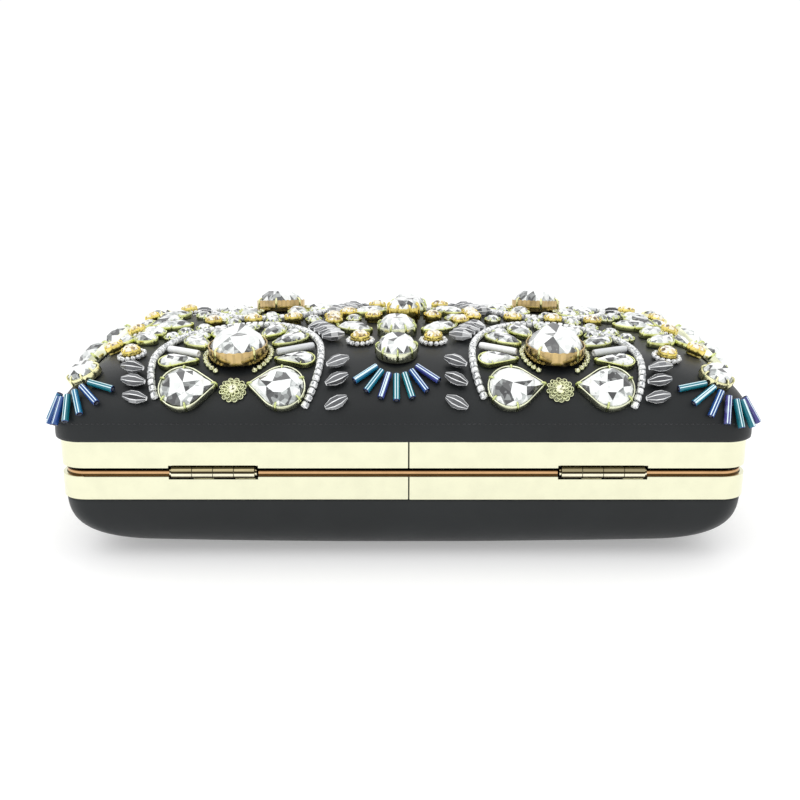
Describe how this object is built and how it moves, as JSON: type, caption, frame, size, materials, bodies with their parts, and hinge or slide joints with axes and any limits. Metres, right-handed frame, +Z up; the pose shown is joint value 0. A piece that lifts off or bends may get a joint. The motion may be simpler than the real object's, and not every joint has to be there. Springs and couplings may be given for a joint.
{
  "type": "minaudiere",
  "caption": "Hard-cased evening clutch with a domed satin base, a jewelled domed lid, two gold frame bands, knuckle hinges and a push-button catch.",
  "frame": {"origin": "middle of the footprint, on the plane that the base rests on", "axes": "+X along the case, to the right seen from the hinge side; +Y from the hinge side to the clasp side; +Z up through the lid"},
  "size_m": [0.2076, 0.1154, 0.0701],
  "materials": {
    "satin": "black satin",
    "shell": "pressed board",
    "lining": "black lining cloth",
    "pale_gold": "polished pale gold plate",
    "rose_gold": "polished rose gold plate",
    "hinge_gold": "satin gold plate",
    "spring_steel": "bright",
    "clear_crystal": "faceted and foiled",
    "brown_gold": "antique gold plate",
    "yellow_gold": "bright gold plate",
    "green_gold": "pale green-gold plate",
    "blue_glass": "iridescent",
    "amber_glass": "faceted and foiled",
    "white_beads": "frosted and lustred"
  },
  "bodies": {
    "base": {"base_cover": "satin", "base_shell": "shell", "base_lining": "lining", "base_band": "pale_gold", "base_inner_rim": "rose_gold", "left_hinge_base_leaf": "hinge_gold", "right_hinge_base_leaf": "hinge_gold", "left_hinge_pin": "hinge_gold", "right_hinge_pin": "hinge_gold", "catch_box": "hinge_gold", "catch_spring": "spring_steel", "catch_rivets": "hinge_gold", "button_bush": "pale_gold"},
    "lid": {"lid_cover": "satin", "lid_shell": "shell", "lid_lining": "lining", "lid_band": "pale_gold", "left_hinge_lid_leaf": "hinge_gold", "right_hinge_lid_leaf": "hinge_gold", "lid_striker": "spring_steel", "drop_crystals": "clear_crystal", "drop_cups": "brown_gold", "drop_stone_chains": "yellow_gold", "pear_crystals": "clear_crystal", "pear_cups": "pale_gold", "side_drop_crystals": "clear_crystal", "side_drop_cups": "green_gold", "navette_crystals": "clear_crystal", "navette_cups": "green_gold", "rosettes": "green_gold", "rosette_crystals": "clear_crystal", "fan_gems": "clear_crystal", "fan_gem_cups": "pale_gold", "corner_gems": "clear_crystal", "corner_gem_cups": "pale_gold", "bugle_beads": "blue_glass", "amber_stones": "amber_glass", "amber_stone_cups": "yellow_gold", "stud_seed_beads": "white_beads", "round_crystals": "clear_crystal", "round_crystal_cups": "pale_gold", "medallion_stone": "clear_crystal", "medallion_cup": "yellow_gold", "frosted_bars": "white_beads", "seed_bead_arches": "white_beads", "oval_beads": "clear_crystal", "fringe_beads": "clear_crystal"},
    "button": {"push_button": "pale_gold", "button_clip": "spring_steel"}
  },
  "joints": [
    {"name": "lid_hinge", "type": "hinge", "parent": "base", "child": "lid", "pos_m": [0, -0.0532, 0.02865], "axis": [1, 0, 0], "range_deg": [0, 100], "deforming": ["catch_spring"]},
    {"name": "button_press", "type": "slide", "parent": "base", "child": "button", "axis": [0, -1, 0], "range_m": [0, 0.0012], "stiffness_N_per_m": 600, "deforming": ["catch_spring"]}
  ]
}
